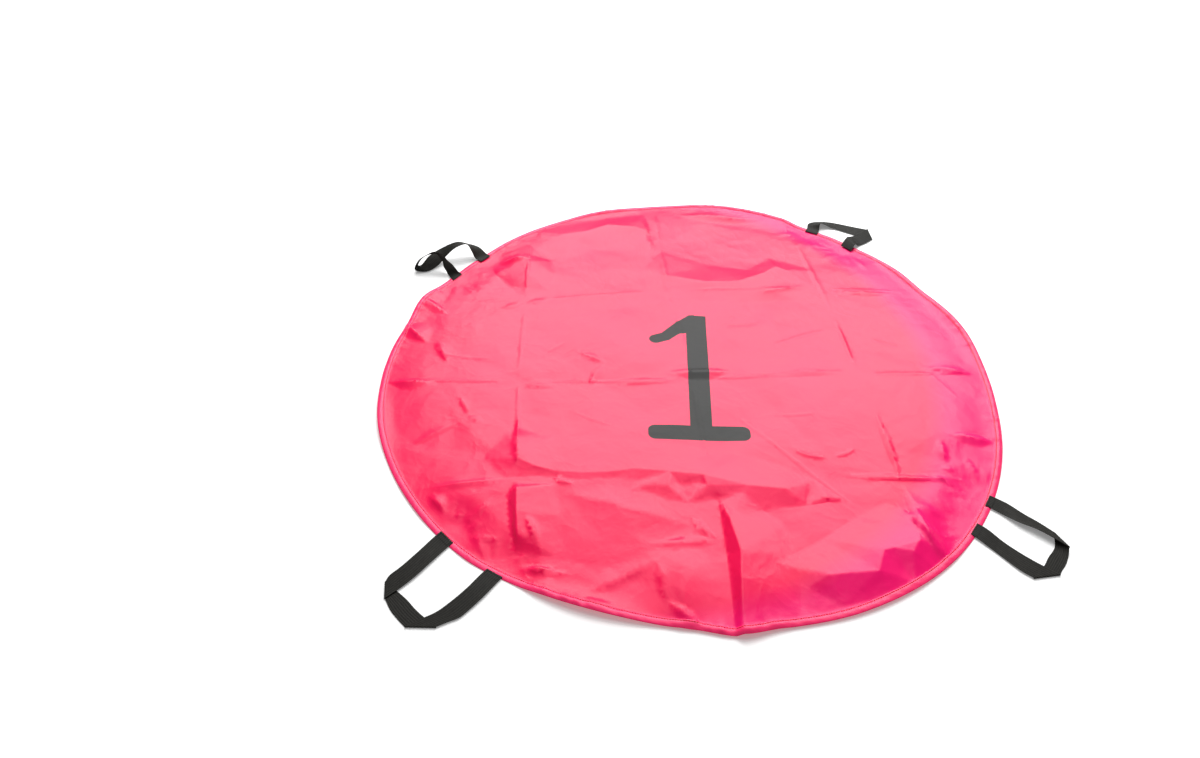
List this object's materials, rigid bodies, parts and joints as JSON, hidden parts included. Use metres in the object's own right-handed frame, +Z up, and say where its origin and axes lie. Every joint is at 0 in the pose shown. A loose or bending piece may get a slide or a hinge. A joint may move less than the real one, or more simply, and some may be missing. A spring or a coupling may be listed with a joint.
{
  "type": "play parachute",
  "caption": "Round sheet of thin cloth with a folded hem and webbing hand loops sewn on it, lying spread out on a floor with its packing creases.",
  "frame": {"origin": "on the floor under the middle of the disc", "axes": "+Z up; +Y along the packing creases, away from the viewer; +X to the viewer's right"},
  "size_m": [1.4967, 1.5075, 0.0566],
  "materials": {
    "canopy_cloth": "smooth pink taffeta with a slight sheen",
    "handle_webbing": "matt near-black ribbed webbing"
  },
  "bodies": {
    "root": {"canopy": "canopy_cloth", "handle_front_right": "handle_webbing", "handle_front_left": "handle_webbing", "handle_back_right": "handle_webbing", "handle_back_left": "handle_webbing"}
  },
  "joints": []
}
